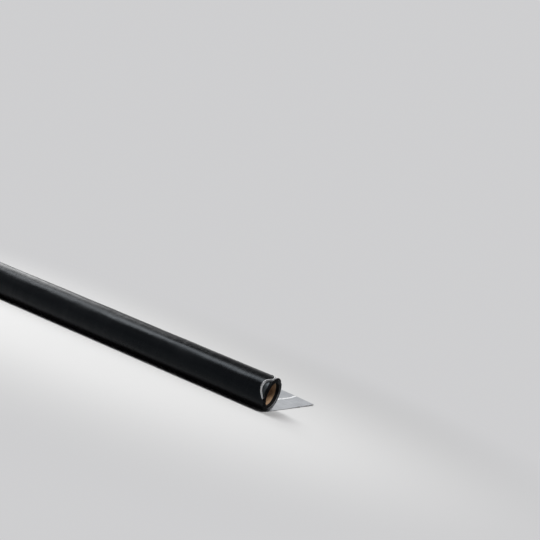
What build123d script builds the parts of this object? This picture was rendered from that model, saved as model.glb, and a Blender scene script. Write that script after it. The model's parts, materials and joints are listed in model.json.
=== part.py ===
"""A part-used roll of roofing felt lying on the floor, its free end running out flat from underneath.

The felt is one sheet wound on a paper-board tube. X runs along the roll's axis and +X is the near
end, where the outer turns are torn. +Y is the side on which the sheet leaves the roll, and Z is up.
The origin is on the axis, midway along the tube. Sizes are in millimetres.
"""

from build123d import *
from math import acos, cos, degrees, radians, sin
import os

# Sheet
sheet_width = 1219.2
felt_thickness = 1.0
turn_count = 17
free_end_length = 400.0

# Paper-board tube, a little shorter than the sheet is wide
core_bore_diameter = 76.2
core_wall = 3.6
core_recess = 10.5
core_fit = 0.3

# Sideways wander of the turns, which shows as steps on both ends
turn_wander = 1.6
wander_step = 137.5

# Torn places in the outer turns at the near end, each with its angle up from the front
torn_turns = 7
front_tear = {"angle": 28.0, "half_width": 35.5, "depth": 24.5}
top_tear = {"angle": 108.0, "half_width": 28.0, "depth": 25.5}
lip_length = 9.0
lip_drop = 1.0
cut_margin = 6.0

core_bore_radius = core_bore_diameter / 2
core_radius = core_bore_radius + core_wall
core_length = sheet_width - 2 * core_recess
wound_bore_radius = core_radius + core_fit
roll_radius = wound_bore_radius + turn_count * felt_thickness
near_end = sheet_width / 2
far_end = -near_end


def turn_shift(turn):
    """Sideways shift of a turn, counted inwards from the outermost, which has none."""
    return turn_wander / 2 * sin(radians(turn * wander_step))


def turn_edges(end):
    """Points of one end's steps, from the innermost turn out to the turn under the outermost."""
    points = []
    for turn in range(turn_count - 1, 0, -1):
        outside = roll_radius - turn * felt_thickness
        points.append((end + turn_shift(turn), outside - felt_thickness))
        points.append((end + turn_shift(turn), outside))
    return points


def torn_place(angle, half_width, depth):
    """A rounded bite out of the outer turns. The turns left below it flare into a lip."""
    neck = roll_radius - torn_turns * felt_thickness
    lip = roll_radius - lip_drop
    outside = roll_radius + cut_margin
    back = near_end - depth - cut_margin
    front = near_end + cut_margin
    outward = (0, -cos(radians(angle)), sin(radians(angle)))
    with BuildPart() as bite:
        with BuildSketch(Plane.XZ):
            with BuildLine():
                flare = TangentArc((near_end - lip_length, neck), (near_end, lip), tangent=(1, 0))
                Polyline(flare @ 1, (front, lip), (front, outside), (back, outside), (back, neck), flare @ 0)
            make_face()
        revolve(axis=Axis.X)
        with BuildSketch(Plane(origin=(near_end, 0, 0), x_dir=(1, 0, 0), z_dir=outward)):
            Ellipse(depth, half_width)
        extrude(amount=outside, mode=Mode.INTERSECT)
    return bite.part


# Wound sheet: the outermost turn and the free end are one section, and the other turns are turned
front_bite = torn_place(**front_tear)
top_bite = torn_place(**top_tear)
under_outer = roll_radius - felt_thickness
parting_angle = degrees(acos(under_outer / roll_radius))

with BuildPart() as felt_roll:
    with BuildSketch(Plane.YZ.offset(far_end)):
        with BuildLine():
            outer_turn = CenterArc((0, 0), roll_radius, parting_angle - 90, 360 - parting_angle)
            Polyline(
                outer_turn @ 1,
                (free_end_length, -roll_radius),
                (free_end_length, -under_outer),
                outer_turn @ 0,
            )
        make_face()
        Circle(under_outer, mode=Mode.SUBTRACT)
    extrude(amount=sheet_width)
    with BuildSketch(Plane.XZ):
        with BuildLine():
            Polyline(*turn_edges(near_end), *reversed(turn_edges(far_end)), close=True)
        make_face()
    revolve(axis=Axis.X)
    add(front_bite, mode=Mode.SUBTRACT)
    add(top_bite, mode=Mode.SUBTRACT)

# Tube
with BuildPart() as core_tube:
    with BuildSketch(Plane.YZ.offset(-core_length / 2)):
        Circle(core_radius)
        Circle(core_bore_radius, mode=Mode.SUBTRACT)
    extrude(amount=core_length)

felt_roll.part.label = "felt_roll"
core_tube.part.label = "core_tube"

os.makedirs("parts", exist_ok=True)
export_step(felt_roll.part, "parts/felt_roll.step")
export_step(core_tube.part, "parts/core_tube.step")
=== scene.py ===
"""Looks of the part-used roll of roofing felt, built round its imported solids.

X runs along the roll's axis with the torn end at +X, the sheet leaves the roll towards +Y, and Z is
up. Lengths are in metres and angles in degrees unless a name or a comment says otherwise.
"""

import json

import bpy
import numpy as np
from mathutils import Matrix, Quaternion, Vector


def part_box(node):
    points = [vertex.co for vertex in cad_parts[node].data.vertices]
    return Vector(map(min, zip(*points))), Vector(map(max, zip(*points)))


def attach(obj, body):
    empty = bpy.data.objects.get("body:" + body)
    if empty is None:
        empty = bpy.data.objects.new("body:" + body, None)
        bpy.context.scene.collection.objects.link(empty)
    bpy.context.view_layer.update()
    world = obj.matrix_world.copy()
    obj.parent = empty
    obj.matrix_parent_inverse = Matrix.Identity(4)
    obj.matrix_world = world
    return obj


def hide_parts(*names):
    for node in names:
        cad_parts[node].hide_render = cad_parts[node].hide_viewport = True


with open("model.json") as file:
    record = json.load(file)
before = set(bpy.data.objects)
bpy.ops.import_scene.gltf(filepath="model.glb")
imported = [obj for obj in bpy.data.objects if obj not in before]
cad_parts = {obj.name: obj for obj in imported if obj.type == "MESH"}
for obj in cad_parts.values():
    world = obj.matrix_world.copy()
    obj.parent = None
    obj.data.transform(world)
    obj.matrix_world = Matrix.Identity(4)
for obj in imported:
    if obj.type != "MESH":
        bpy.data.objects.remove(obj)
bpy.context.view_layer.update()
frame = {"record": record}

felt_low, felt_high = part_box("felt_roll")
tube_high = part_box("core_tube")[1]

# Sizes that the frame gives. TUBE_BORE is a radius
ROLL_RADIUS = -felt_low.z
FREE_END = felt_high.y
TUBE_RADIUS = tube_high.z
TUBE_END = tube_high.x
TUBE_BORE = frame["record"]["mounts"][0]["dims"]["r_mm"] / 1000
TUBE_GIRTH = 2 * np.pi * TUBE_BORE

# Sheet. ROLL_BORE is the radius inside its turns, and NECK_RADIUS the one below the torn turns
SHEET_WIDTH = 1.2192
NEAR_END = SHEET_WIDTH / 2
PITCH = 0.001
THICKNESS = 0.0009
TURNS = 17
TORN_TURNS = 7
ROLL_BORE = ROLL_RADIUS - PITCH * TURNS
NECK_RADIUS = ROLL_RADIUS - PITCH * TORN_TURNS

# Steps along the sheet: on the free end, in each outer turn and in each inner one
FREE_STEPS = 64
FINE_TURNS = 8
FINE_STEPS = 80
COARSE_STEPS = 40

# Width of the pale torn edge on the outermost turn, and on the turns inside it
PALE_WIDTH = 0.0012
INNER_PALE_WIDTH = 0.0008

# Columns across the sheet, by distance from its far edge and from its near one
FAR_COLUMNS = np.array([0, 0.002, 0.006, 0.015, 0.04, 0.1])
MIDDLE_COLUMNS = 25
NEAR_COLUMNS = np.array([
    0.15, 0.1, 0.06, 0.038, 0.028, 0.02, 0.0145, 0.011, 0.008, 0.006, 0.004, INNER_PALE_WIDTH, 0,
])

# Sideways wander of the turns and their soft dents
WANDER = 0.0008
WANDER_STEP = 137.5
DENTS = 0.0005

# Tear in the outer turns: its depth by angle up from the front, and the depth that looks torn
TEAR = [
    (-21, 0), (-15, 0.0035), (-8, 0.0085), (0, 0.0138), (9, 0.019), (20, 0.023), (34, 0.0245),
    (46, 0.023), (54, 0.016), (61, 0.006), (70, 0.004), (80, 0.007), (91, 0.017), (101, 0.0255),
    (115, 0.0245), (128, 0.015), (138, 0),
]
TORN_FROM = 0.002
TEAR_SLOPE = 0.08
RAGGED = 0.0006
STEEPEST_SLANT = 1.5

# Curl of the torn edges: its height, how far it reaches in, and the depth of tear that has it all
CURL = 0.0012
CURL_REACH = 0.004
CURL_DEPTH = 0.01

# Lip into which the turns below the tear flare, all of it where the tear is LIP_DEPTH deep
LIP_LENGTH = 0.008
LIP_PROUD = 0.0012
LIP_CURVE = 1.6
LIP_DEPTH = 0.012

# Free end on the floor
SWELL = 0.002
CREASES = 0.0018
END_CURL = 0.006
END_CURL_SHARE = 0.16

# Material numbers in the sheet's mesh
UNDER, TOP, EDGE, TORN, BARED = range(5)

# Where the sheet's mesh is left bare below the tear, and where its grey upper face is painted black
# as shade: in the gaps between turns near both ends of the roll, and on the innermost turns round
# the bore
BARED_FROM = 0.004
BARED_COLUMNS = slice(-9, -3)
PAINTED_SHADE_START = 0.25
PAINTED_SHADE_COLUMNS = [slice(0, 3), slice(-4, -1)]
PAINTED_SHADE_BORE_TURNS = 1.5

# Tube: steps round it and along it, and its softened ends
TUBE_AROUND = 128
TUBE_STEPS = 60
TUBE_END_SPAN = 0.01
SOFT_LENGTH = 0.0006
SOFT_DEPTH = 0.0004

# Angle above which an edge of a mesh is sharp
SHARP_ANGLE = 50

# Finishes of the sheet
TAPE = 0.0024
UNDER_DARK = (0.0013, 0.0014, 0.0018)
UNDER_LIGHT = (0.0032, 0.0034, 0.004)
# Specular tint of the underside: its low level is the coating's weak reflection, and its blue cast
# is painted reflection colour of a blue sky
UNDER_SHEEN_AND_SKY_BLUE = (0.175, 0.21, 0.245, 1)
UNDER_WEAVE = 0.00003
DUST = (0.24, 0.24, 0.24)
DUST_SHARE = 0.35
# Bared turn: a lighter copy of the underside's black, partly scuffs and grey dust and partly a
# painted highlight on the neck below the tear
BARED_DARK = (0.0037, 0.004, 0.0045)
BARED_SCUFFS_AND_HIGHLIGHT = (0.024, 0.026, 0.028)
# Specular tint of the bared turn: its blue cast is painted reflection colour of a blue sky
BARED_SHEEN_AND_SKY_BLUE = (0.8, 0.92, 1, 1)
TOP_DARK = (0.22, 0.228, 0.243)
TOP_LIGHT = (0.44, 0.455, 0.478)
TOP_WEAVE = 0.00012
LAP_LINE = 0.5346
LINE_HALF = 0.003
LINE_WHITE = (0.86, 0.87, 0.88)
EDGE_DARK = (0.0045, 0.0045, 0.005)
EDGE_LIGHT = (0.03, 0.03, 0.033)
TORN_DARK = (0.58, 0.59, 0.61)
TORN_LIGHT = (0.9, 0.91, 0.92)

# Finishes of the tube. The seam's place and half width are shares of a turn of the ply
PLY = 0.0005
PLY_WIDTH = 0.1
SEAM_PLACE = 0.212
SEAM_HALF = 0.012
SEAM = (0.07, 0.04, 0.022)
BOARD_DARK = (0.23, 0.115, 0.048)
BOARD_LIGHT = (0.76, 0.53, 0.34)
END_DARK = (0.32, 0.2, 0.12)
END_LIGHT = (0.6, 0.45, 0.32)

# Stage: the floor as it is seen and as it throws light back, and the backdrop that it fades into
FLOOR = (0.6, 0.6, 0.6)
FLOOR_BOUNCE = (0.2, 0.2, 0.2)
BACKDROP = (0.62, 0.62, 0.63)
FADE_START = 0.4
FADE_END = 1.6
FADE_WEIGHTS = (0.8, 1, 0)
FLAT_RADIUS = 6
WALL_CURVE = 3
WALL_TOP = 7
STAGE_AROUND = 96

# Lamps: name, place, target, size, power in watts, and turn about the beam
LAMPS = [
    ("overhead", (-1.1, -0.36, 2.3), (-1.1, -0.26, 0), (2.2, 0.9), 62, -15),
    ("overhead_left", (-2.3, -0.1, 2.3), (-2.3, 0, 0), (1.2, 1.1), 11, -7),
    ("back_left", (-2.85, 1.9, 2.25), (-0.6, 0, 0), (1.9, 1.9), 46, 0),
    ("end_fill", (1.3, -0.35, 1.8), (0.6, 0, 0), (0.5, 0.5), 24, 0),
]
WORLD_STRENGTH = 0.15

# Photograph's camera, with the image's side in pixels and the sensor in millimetres
IMAGE = 540
FOCAL_PX = 1150.6
SENSOR = 36.0
CAMERA_PLACE = Vector((2.0009, -3.417, 0.6987))
CAMERA_FORWARD = Vector((-0.4091, 0.9085, -0.0851))
CAMERA_TILT = 18.3


def camera():
    """The photograph's camera, which leans to its left."""
    data = bpy.data.cameras.new("camera")
    data.sensor_width = SENSOR
    data.lens = FOCAL_PX / IMAGE * SENSOR
    data.clip_end = 100
    made = bpy.data.objects.new("camera", data)
    bpy.context.scene.collection.objects.link(made)
    level = CAMERA_FORWARD.to_track_quat("-Z", "Y").to_matrix()
    made.matrix_world = Matrix.Translation(CAMERA_PLACE) @ (
        level @ Matrix.Rotation(np.radians(CAMERA_TILT), 3, "Z")
    ).to_4x4()
    bpy.context.scene.camera = made


def noise(seed, *waves):
    """A smooth, repeatable wave field: the mean of a few sines with seeded phases."""
    rng = np.random.default_rng(seed)
    total = 0
    for wave in waves:
        total = total + np.sin(wave + rng.uniform(0, 2 * np.pi))
    return total / len(waves)


def tear_depth(up):
    """How far the outer turns are torn back at each angle up from the front."""
    angles, depths = np.array(TEAR).T
    kernel = np.array([1, 2, 3, 4, 3, 2, 1]) / 16
    fine = np.arange(angles[0] - len(kernel), angles[-1] + len(kernel) + 1)
    smooth = np.convolve(np.interp(fine, angles, depths), kernel, mode="same")
    return np.interp(up, fine, smooth, left=0, right=0)


def sheet_rows():
    """Rows of points from the free end inwards.

    Each row has its turn, its share of the free end, its angle round the axis in radians and its
    angle up from the front in degrees.
    """
    fine = np.arange(FINE_TURNS * FINE_STEPS) / FINE_STEPS
    coarse = FINE_TURNS + np.arange((TURNS - FINE_TURNS) * COARSE_STEPS + 1) / COARSE_STEPS
    turn = np.concatenate([np.zeros(FREE_STEPS), fine, coarse])
    out = np.zeros(len(turn))
    out[:FREE_STEPS] = 1 - np.arange(FREE_STEPS) / FREE_STEPS
    angle = 2 * np.pi * turn
    up = np.degrees(angle) % 360 - 90
    return turn, out, angle, np.where(up > 180, up - 360, up)


def width_grid(turn, angle, torn):
    """Each point's place across the width, and each row's near edge."""
    shift = WANDER * np.sin(np.radians(turn * WANDER_STEP)) * np.clip(turn, 0, 1)
    step_in = 1 - TEAR_SLOPE * np.clip(turn, 0, TORN_TURNS) / TORN_TURNS
    ragged = RAGGED * noise(3, angle * 9, angle * 23 + turn * 5, angle * 41)
    near_edge = NEAR_END + shift - torn * step_in + np.where(torn > TORN_FROM, ragged, 0)
    far = (-NEAR_END + shift)[:, None] + FAR_COLUMNS
    near = near_edge[:, None] - NEAR_COLUMNS

    arc = np.maximum(np.gradient(angle) * ROLL_RADIUS, 1e-6)
    slant = np.clip(np.abs(np.gradient(torn)) / arc, 0, STEEPEST_SLANT)
    outermost = turn < 1
    near[outermost, -2] = (near_edge - PALE_WIDTH * np.sqrt(1 + slant**2))[outermost]

    low = far[:, -1]
    high = near[:, 0]
    steps = MIDDLE_COLUMNS + 1
    middle = [low + (high - low) * step / steps for step in range(1, steps)]
    return np.column_stack([far, *middle, near]), near_edge


def lip_lift(x, radius, turn, tear):
    """How far the turns below the tear flare out at the near end, the outer ones most."""
    share = np.clip((radius - ROLL_BORE) / (NECK_RADIUS - ROLL_BORE), 0, 1)
    open_above = np.clip(tear / LIP_DEPTH, 0, 1)
    under_tear = np.where(turn >= TORN_TURNS, open_above**2 * (3 - 2 * open_above), 0)
    run = np.clip(1 - (NEAR_END - x) / LIP_LENGTH, 0, 1)
    flare = (ROLL_RADIUS + LIP_PROUD - NECK_RADIUS) * run**LIP_CURVE
    return (under_tear * share)[:, None] * flare


def curl_lift(x, near_edge, turn, torn):
    """How far the torn edges curl up, the outer ones most."""
    height = CURL * np.clip(1 - turn / TORN_TURNS, 0, 1) * np.clip(torn / CURL_DEPTH, 0, 1)
    return height[:, None] * np.exp(-((near_edge[:, None] - x) / CURL_REACH) ** 2)


def dent_lift(x, radius, angle):
    """Soft dents of the turns, deepest in the outer ones on top of the roll."""
    share = np.clip((radius - ROLL_BORE) / (ROLL_RADIUS - ROLL_BORE), 0, 1)
    rise = (1 - np.cos(angle)) / 2 * share**2
    waves = DENTS * noise(5, x * 21 + angle[:, None], x * 37 - 2 * angle[:, None], x * 9)
    return rise[:, None] * waves


def free_end_lift(x, out):
    """How far the free end stands off the floor: soft swells, low creases and a curled edge."""
    swell = SWELL * (1 + noise(8, x * 9 + out * 4, x * 17 - out * 7)) * out**2
    y = out * FREE_END
    drift = 0.9 * np.sin(x * 5.3) + 0.5 * np.sin(x * 12.1 + 1)
    creases = CREASES * (1 + noise(21, y * 105 + drift, y * 163 - 1.7 * drift, y * 61 + x * 11))
    patches = 0.5 + 0.5 * noise(23, x * 8 + y * 13, x * 5 - y * 21)
    rolled = np.clip((out - (1 - END_CURL_SHARE)) / END_CURL_SHARE, 0, 1) ** 2
    curl = END_CURL * rolled * (0.6 + 0.4 * noise(11, x * 5, x * 11))
    return swell + creases * patches * np.clip(out * 5, 0, 1) + curl


def sheet_points(x, lift, radius, out, angle):
    """Points of the underside, which faces outwards on the roll, and then of the upper face."""
    wound = out[:, None] == 0
    floor_lift = free_end_lift(x, out[:, None])
    faces = []
    for side in (1, -1):
        r = radius[:, None] + lift + side * THICKNESS / 2
        flat_z = -ROLL_RADIUS + THICKNESS / 2 - side * THICKNESS / 2 + floor_lift
        y = np.where(wound, -r * np.sin(angle)[:, None], out[:, None] * FREE_END)
        z = np.where(wound, -r * np.cos(angle)[:, None], flat_z)
        faces.append(np.stack([x, y, z], axis=-1).reshape(-1, 3))
    return np.concatenate(faces)


def sheet_groups(columns, turn, torn, tear):
    """Material numbers of the underside's quads, of the upper face's and of the near edge's."""
    turn = turn[:-1]
    under = np.full((len(turn), columns - 1), UNDER)
    # The bared turn below the tear takes the lighter finish, which is partly a painted highlight
    bared = (turn >= TORN_TURNS) & (turn < TORN_TURNS + 1) & (tear[:-1] > BARED_FROM)
    under[bared, BARED_COLUMNS] = BARED
    torn_rows = (torn[:-1] > TORN_FROM) & (torn[1:] > TORN_FROM)
    under[torn_rows, -1] = TORN
    top = np.where(under == TORN, TORN, TOP)
    # Painted shade: the grey upper face takes the black edge finish on the innermost turns round
    # the bore and in the gaps between turns near both ends
    top[turn > TURNS - PAINTED_SHADE_BORE_TURNS] = EDGE
    for band in PAINTED_SHADE_COLUMNS:
        top[turn > PAINTED_SHADE_START, band] = EDGE
    return under, top, np.where(torn_rows, TORN, EDGE)


def strip_faces(a, b, flip):
    """Quads between two rows of vertex numbers, turned over if flip is true."""
    quads = np.stack([a[:-1], a[1:], b[1:], b[:-1]], axis=-1)
    return quads[:, ::-1] if flip else quads


def make_mesh(name, points, quads, groups, uv, materials):
    """A smooth mesh from quads, with a material number for each quad and a length map on it."""
    mesh = bpy.data.meshes.new(name)
    mesh.from_pydata(points.tolist(), [], quads.tolist())
    for material in materials:
        mesh.materials.append(material)
    mesh.polygons.foreach_set("material_index", groups.astype(np.int32))
    mesh.polygons.foreach_set("use_smooth", np.ones(len(quads), bool))
    layer = mesh.uv_layers.new(name="length_map")
    corners = np.zeros(len(mesh.loops), np.int32)
    mesh.loops.foreach_get("vertex_index", corners)
    layer.data.foreach_set("uv", uv[corners].astype(np.float32).ravel())
    mesh.set_sharp_from_angle(angle=np.radians(SHARP_ANGLE))
    mesh.update()
    made = bpy.data.objects.new(name, mesh)
    bpy.context.scene.collection.objects.link(made)
    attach(made, "root")
    return made


def felt_sheet(materials):
    """The whole sheet as one closed mesh: the free end, the turns and their torn edges."""
    turn, out, angle, up = sheet_rows()
    tear = tear_depth(up)
    torn = np.where((out == 0) & (turn < TORN_TURNS), tear, 0)
    x, near_edge = width_grid(turn, angle, torn)
    radius = ROLL_RADIUS - THICKNESS / 2 - PITCH * turn
    lift = lip_lift(x, radius, turn, tear) + curl_lift(x, near_edge, turn, torn)
    lift = lift + dent_lift(x, radius, angle)
    points = sheet_points(x, lift, radius, out, angle)
    length = 2 * np.pi * turn * (ROLL_RADIUS - PITCH * turn / 2) - out * FREE_END
    uv = np.stack([np.broadcast_to(length[:, None], x.shape), x], axis=-1).reshape(-1, 2)

    under = np.arange(x.size).reshape(x.shape)
    top = under + x.size
    corners = [under[:-1, :-1], under[1:, :-1], under[1:, 1:], under[:-1, 1:]]
    grid = np.stack(corners, axis=-1).reshape(-1, 4)
    under_groups, top_groups, near_groups = sheet_groups(x.shape[1], turn, torn, tear)
    parts = [
        (grid[:, ::-1], under_groups.ravel()),
        (grid + x.size, top_groups.ravel()),
        (strip_faces(under[:, -1], top[:, -1], flip=True), near_groups),
        (strip_faces(under[:, 0], top[:, 0], flip=False), EDGE),
        (strip_faces(under[0, :], top[0, :], flip=True), EDGE),
        (strip_faces(under[-1, :], top[-1, :], flip=False), EDGE),
    ]
    quads = np.concatenate([part for part, _ in parts])
    groups = np.concatenate([np.broadcast_to(group, len(part)) for part, group in parts])
    made = make_mesh("felt_sheet", points, quads, groups, np.tile(uv, (2, 1)), materials)
    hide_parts("felt_roll")


def tube(materials):
    """The paper-board tube with softened cut ends, which take the second material."""
    angle = np.linspace(0, 2 * np.pi, TUBE_AROUND + 1)[:-1]
    lengths = np.concatenate([
        [-TUBE_END, -TUBE_END + SOFT_LENGTH],
        np.linspace(-TUBE_END + TUBE_END_SPAN, TUBE_END - TUBE_END_SPAN, TUBE_STEPS),
        [TUBE_END - SOFT_LENGTH, TUBE_END],
    ])
    soft = np.zeros(len(lengths))
    soft[[0, -1]] = SOFT_DEPTH
    along = np.concatenate([lengths, lengths[::-1]])
    radius = np.concatenate([TUBE_RADIUS - soft, TUBE_BORE + soft])
    y = radius * np.cos(angle)[:, None]
    z = radius * np.sin(angle)[:, None]
    points = np.stack([np.broadcast_to(along, y.shape), y, z], axis=-1).reshape(-1, 3)

    here = np.arange(y.size).reshape(y.shape)
    beside = np.roll(here, -1, axis=0)
    corners = [here, beside, np.roll(beside, -1, axis=1), np.roll(here, -1, axis=1)]
    quads = np.stack(corners, axis=-1).reshape(-1, 4)
    on_end = np.zeros(len(along), int)
    on_end[[len(lengths) - 1, len(along) - 1]] = 1
    groups = np.tile(on_end, TUBE_AROUND)
    uv = np.stack([np.repeat(angle, len(along)) * TUBE_BORE, np.tile(along, TUBE_AROUND)], axis=-1)
    made = make_mesh("board_tube", points, quads, groups, uv, materials)
    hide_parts("core_tube")


class Nodes:
    """A material's node tree. Inputs are numbers, colours or other nodes' outputs."""

    def __init__(self, name):
        self.material = bpy.data.materials.new(name)
        self.material.use_nodes = True
        self.tree = self.material.node_tree
        self.shader = self.tree.nodes["Principled BSDF"]

    def put(self, kind, inputs, output=0, **settings):
        """Add a node, and return one of its outputs."""
        node = self.tree.nodes.new("ShaderNode" + kind)
        for key, value in settings.items():
            setattr(node, key, value)
        self.feed(node, inputs)
        return node.outputs[output]

    def feed(self, node, inputs):
        """Link or set a node's inputs."""
        for key, value in inputs.items():
            if isinstance(value, bpy.types.NodeSocket):
                self.tree.links.new(value, node.inputs[key])
            else:
                node.inputs[key].default_value = value

    def length_map(self, along=1, across=1):
        """Place along the sheet and across it, or round the tube and along it, both scaled."""
        place = self.put("UVMap", {}, uv_map="length_map")
        return self.put("Mapping", {"Vector": place, "Scale": (along, across, 1)})

    def math(self, operation, *values):
        """One sum on numbers or other nodes' outputs."""
        return self.put("Math", dict(enumerate(values)), operation=operation)

    def noise(self, place, scale, detail=2, rough=0.5):
        """Soft cloudy noise."""
        inputs = {"Vector": place, "Scale": scale, "Detail": detail, "Roughness": rough}
        return self.put("TexNoise", inputs)

    def ramp(self, value, low, high, to_low=0.0, to_high=1.0):
        """A smooth step from one value to another."""
        inputs = {
            "Value": value, "From Min": low, "From Max": high, "To Min": to_low, "To Max": to_high,
        }
        return self.put("MapRange", inputs, interpolation_type="SMOOTHSTEP")

    def blend(self, first, second, share):
        """Sum of two values, in which the first has the given share."""
        first_part = self.math("MULTIPLY", first, share)
        return self.math("ADD", first_part, self.math("MULTIPLY", second, 1 - share))

    def colours(self, factor, first, second):
        """Mix of two colours. Each is three numbers or a node's output."""
        node = self.tree.nodes.new("ShaderNodeMix")
        node.data_type = "RGBA"
        for key, value in ((0, factor), (6, first), (7, second)):
            self.feed(node, {key: (*value, 1) if isinstance(value, tuple) else value})
        return node.outputs[2]

    def bump(self, height, distance, under=None):
        """A relief, on top of another one if that is given."""
        inputs = {"Height": height, "Distance": distance, "Strength": 1.0}
        if under:
            inputs["Normal"] = under
        return self.put("Bump", inputs)

    def finish(self, colour, rough, specular, normal=None):
        """Feed the shader, and return the material."""
        inputs = {"Base Color": colour, "Roughness": rough, "Specular IOR Level": specular}
        if normal:
            inputs["Normal"] = normal
        self.feed(self.shader, inputs)
        return self.material


def weave(nodes):
    """Plain weave of flat tapes: bands along the sheet and across it, over and under by turns."""
    place = nodes.length_map(1 / TAPE, 1 / TAPE)
    along = nodes.put("SeparateXYZ", {"Vector": place}, output="X")
    bands = []
    for share in (along, along.node.outputs["Y"]):
        wave = nodes.math("SINE", nodes.math("MULTIPLY", share, np.pi))
        bands.append(nodes.math("ABSOLUTE", wave))
    checker = nodes.put("TexChecker", {"Vector": place, "Scale": 1.0}, output=1)
    first = nodes.math("MULTIPLY", bands[0], checker)
    second = nodes.math("MULTIPLY", bands[1], nodes.math("SUBTRACT", 1.0, checker))
    return nodes.math("ADD", first, second)


def felt_under_material():
    """Satin black coated underside: tape weave, soft dents, faint streaks, scuffs and dust."""
    nodes = Nodes("felt_under")
    dents = nodes.noise(nodes.length_map(across=0.45), 16, detail=1)
    bands = nodes.noise(nodes.length_map(along=0.06), 34, detail=3)
    streaks = nodes.noise(nodes.length_map(across=0.12), 420, detail=3)
    specks = nodes.ramp(nodes.noise(nodes.length_map(), 900, rough=0.7), 0.71, 0.78)
    patches = nodes.noise(nodes.length_map(across=0.3), 9, detail=4, rough=0.6)
    haze = nodes.ramp(patches, 0.4, 0.75)
    colour = nodes.colours(haze, UNDER_DARK, UNDER_LIGHT)
    colour = nodes.colours(nodes.math("MULTIPLY", specks, DUST_SHARE), colour, DUST)
    scuffs = nodes.math("ADD", nodes.math("MULTIPLY", streaks, 0.5), haze)
    rough = nodes.ramp(scuffs, 0.1, 1.2, to_low=0.27, to_high=0.39)
    normal = nodes.bump(dents, 0.0035)
    normal = nodes.bump(bands, 0.0013, under=normal)
    normal = nodes.bump(weave(nodes), UNDER_WEAVE, under=normal)
    # Blue cast of the reflections, painted into the specular tint
    nodes.feed(nodes.shader, {"Specular Tint": UNDER_SHEEN_AND_SKY_BLUE})
    return nodes.finish(colour, rough, specular=0.42, normal=normal)


def felt_top_material():
    """Grey woven upper face: tapes of uneven shade, scuffs, and a white lap line near each edge."""
    nodes = Nodes("felt_top")
    along_streaks = nodes.noise(nodes.length_map(along=0.02), 1 / TAPE, detail=1)
    cross_streaks = nodes.noise(nodes.length_map(across=0.02), 1 / TAPE, detail=1)
    scuffs = nodes.noise(nodes.length_map(), 11, detail=5, rough=0.65)
    shade = nodes.blend(nodes.blend(along_streaks, cross_streaks, 0.5), scuffs, 0.6)
    colour = nodes.colours(nodes.ramp(shade, 0.3, 0.7), TOP_DARK, TOP_LIGHT)
    across = nodes.put("SeparateXYZ", {"Vector": nodes.length_map()}, output="Y")
    from_middle = nodes.math("ABSOLUTE", across)
    from_line = nodes.math("ABSOLUTE", nodes.math("SUBTRACT", from_middle, LAP_LINE))
    line = nodes.ramp(from_line, LINE_HALF, LINE_HALF * 1.25, to_low=1, to_high=0)
    worn = nodes.ramp(nodes.noise(nodes.length_map(), 260, detail=3), 0.3, 0.5)
    colour = nodes.colours(nodes.math("MULTIPLY", line, worn), colour, LINE_WHITE)
    rough = nodes.ramp(scuffs, 0.3, 0.7, to_low=0.36, to_high=0.55)
    normal = nodes.bump(nodes.noise(nodes.length_map(), 12), 0.002)
    normal = nodes.bump(weave(nodes), TOP_WEAVE, under=normal)
    return nodes.finish(colour, rough, specular=0.4, normal=normal)


def felt_edge_material():
    """Cut edges of the turns, and painted shade on the upper face near the roll's ends and round
    the bore: dull black with short fibres and a little grey dust.
    """
    nodes = Nodes("felt_edge")
    place = nodes.put("TexCoord", {}, output="Object")
    fibres = nodes.noise(place, 1400, detail=3, rough=0.7)
    colour = nodes.colours(nodes.ramp(fibres, 0.5, 0.8), EDGE_DARK, EDGE_LIGHT)
    return nodes.finish(colour, rough=0.8, specular=0.15, normal=nodes.bump(fibres, 0.0003))


def felt_torn_material():
    """Torn edges: pale stretched fibres of the sheet's inner layer."""
    nodes = Nodes("felt_torn")
    fibres = nodes.noise(nodes.length_map(across=0.15), 2200, detail=3, rough=0.7)
    patches = nodes.noise(nodes.length_map(), 90)
    shade = nodes.blend(fibres, patches, 0.5)
    colour = nodes.colours(nodes.ramp(shade, 0.3, 0.65), TORN_DARK, TORN_LIGHT)
    return nodes.finish(colour, rough=0.7, specular=0.3, normal=nodes.bump(fibres, 0.0004))


def felt_bared_material():
    """Turn left bare under a tear: black and shiny, made lighter than the underside partly by
    scuffs and a little grey dust and partly as a painted highlight.
    """
    nodes = Nodes("felt_bared")
    scuffs = nodes.noise(nodes.length_map(across=0.4), 130, detail=4, rough=0.65)
    fibres = nodes.noise(nodes.length_map(across=0.1), 1500, detail=3, rough=0.7)
    shade = nodes.blend(scuffs, fibres, 0.65)
    # Lighter than the underside's black: partly scuffs and dust, partly painted highlight
    colour = nodes.colours(nodes.ramp(shade, 0.3, 0.7), BARED_DARK, BARED_SCUFFS_AND_HIGHLIGHT)
    # Blue cast of the reflections, painted into the specular tint
    nodes.feed(nodes.shader, {"Specular Tint": BARED_SHEEN_AND_SKY_BLUE})
    return nodes.finish(colour, rough=0.42, specular=0.45, normal=nodes.bump(fibres, 0.0002))


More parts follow.
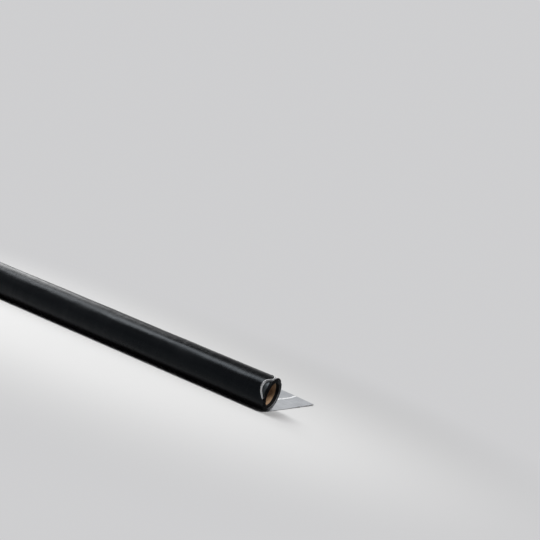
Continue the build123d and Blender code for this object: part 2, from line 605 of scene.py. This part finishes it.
def board_material():
    """Wound paper board: kraft fibres, and the slanting seam of its inner ply."""
    nodes = Nodes("board")
    around = nodes.put("SeparateXYZ", {"Vector": nodes.length_map()}, output="X")
    along = around.node.outputs["Y"]
    turns_round = nodes.math("DIVIDE", around, TUBE_GIRTH)
    turns = nodes.math("ADD", turns_round, nodes.math("DIVIDE", along, PLY_WIDTH))
    past_seam = nodes.math("SUBTRACT", nodes.math("FRACT", turns), SEAM_PLACE)
    seam = nodes.ramp(nodes.math("ABSOLUTE", past_seam), 0.0, SEAM_HALF, to_low=1, to_high=0)
    fibres = nodes.noise(nodes.length_map(across=0.25), 700, detail=4, rough=0.7)
    blotch = nodes.noise(nodes.length_map(), 22, detail=3)
    shade = nodes.blend(fibres, blotch, 0.55)
    colour = nodes.colours(nodes.ramp(shade, 0.32, 0.68), BOARD_DARK, BOARD_LIGHT)
    colour = nodes.colours(nodes.math("MULTIPLY", seam, 0.8), colour, SEAM)
    rough = nodes.ramp(fibres, 0.3, 0.7, to_low=0.72, to_high=0.88)
    height = nodes.math("SUBTRACT", nodes.math("MULTIPLY", fibres, 0.3), seam)
    return nodes.finish(colour, rough, specular=0.25, normal=nodes.bump(height, 0.0004))


def board_end_material():
    """Cut end of the tube: thin rings of paper plies."""
    nodes = Nodes("board_end")
    place = nodes.put("TexCoord", {}, output="Object")
    flat = nodes.put("VectorMath", {0: place, 1: (0, 1, 1)}, operation="MULTIPLY")
    radius = nodes.put("VectorMath", {0: flat}, output="Value", operation="LENGTH")
    wave = nodes.math("SINE", nodes.math("MULTIPLY", radius, np.pi / PLY))
    fuzz = nodes.noise(place, 1800, detail=3, rough=0.7)
    shade = nodes.blend(nodes.math("ABSOLUTE", wave), fuzz, 0.5)
    colour = nodes.colours(nodes.ramp(shade, 0.25, 0.75), END_DARK, END_LIGHT)
    return nodes.finish(colour, rough=0.9, specular=0.2, normal=nodes.bump(shade, 0.0005))


def stage_material():
    """Pale floor, which fades into a plain pale backdrop where the lamps don't reach."""
    nodes = Nodes("stage")
    place = nodes.put("NewGeometry", {}, output="Position")
    flat = nodes.put("VectorMath", {0: place, 1: FADE_WEIGHTS}, operation="MULTIPLY")
    away = nodes.put("VectorMath", {0: flat}, output="Value", operation="LENGTH")
    camera_ray = nodes.put("LightPath", {}, output="Is Camera Ray")
    rays = camera_ray.node.outputs
    mirrored = nodes.math("MAXIMUM", rays["Is Glossy Ray"], rays["Is Transmission Ray"])
    seen = nodes.math("MAXIMUM", camera_ray, mirrored)
    share = nodes.math("MULTIPLY", nodes.ramp(away, FADE_START, FADE_END), seen)
    nodes.finish(nodes.colours(seen, FLOOR_BOUNCE, FLOOR), rough=0.9, specular=0.2)
    glow = nodes.put("Emission", {"Color": (*BACKDROP, 1), "Strength": 1.0})
    both = nodes.put("MixShader", {0: share, 1: nodes.shader.outputs[0], 2: glow})
    nodes.feed(nodes.tree.nodes["Material Output"], {"Surface": both})
    return nodes.material


def stage():
    """A pale dish, flat under the roll and curving up all round."""
    bend = np.linspace(0.1, np.pi / 2, 12)
    curve = FLAT_RADIUS + WALL_CURVE * np.sin(bend)
    radii = [0, FLAT_RADIUS / 2, FLAT_RADIUS, *curve, FLAT_RADIUS + WALL_CURVE]
    heights = [0, 0, 0, *(WALL_CURVE * (1 - np.cos(bend))), WALL_TOP]
    rings = len(radii)
    points = [
        (r * np.cos(a), r * np.sin(a), -ROLL_RADIUS + h)
        for a in np.linspace(0, 2 * np.pi, STAGE_AROUND + 1)[:-1]
        for r, h in zip(radii, heights)
    ]
    quads = []
    for a in range(STAGE_AROUND):
        b = (a + 1) % STAGE_AROUND
        for i in range(rings - 1):
            quads.append((a * rings + i, a * rings + i + 1, b * rings + i + 1, b * rings + i))
    mesh = bpy.data.meshes.new("stage")
    mesh.from_pydata(points, [], quads)
    mesh.polygons.foreach_set("use_smooth", np.ones(len(quads), bool))
    mesh.materials.append(stage_material())
    made = bpy.data.objects.new("stage", mesh)
    bpy.context.scene.collection.objects.link(made)


def area_light(name, place, target, size, power, turn):
    """A rectangular lamp that looks at its target, turned about its beam."""
    data = bpy.data.lights.new(name, "AREA")
    data.shape = "RECTANGLE"
    data.size, data.size_y = size
    data.energy = power
    made = bpy.data.objects.new(name, data)
    bpy.context.scene.collection.objects.link(made)
    made.location = place
    made.rotation_mode = "QUATERNION"
    aim = (Vector(target) - Vector(place)).to_track_quat("-Z", "Y")
    made.rotation_quaternion = aim @ Quaternion((0, 0, 1), np.radians(turn))


def lights():
    """A dim white world and the soft lamps."""
    world = bpy.data.worlds.new("world")
    bpy.context.scene.world = world
    world.use_nodes = True
    background = world.node_tree.nodes["Background"]
    background.inputs["Color"].default_value = (1, 1, 1, 1)
    background.inputs["Strength"].default_value = WORLD_STRENGTH
    for lamp in LAMPS:
        area_light(*lamp)


camera()
lights()
stage()
felt_sheet([
    felt_under_material(),
    felt_top_material(),
    felt_edge_material(),
    felt_torn_material(),
    felt_bared_material(),
])
tube([board_material(), board_end_material()])

bpy.context.scene.view_settings.view_transform = "Standard"
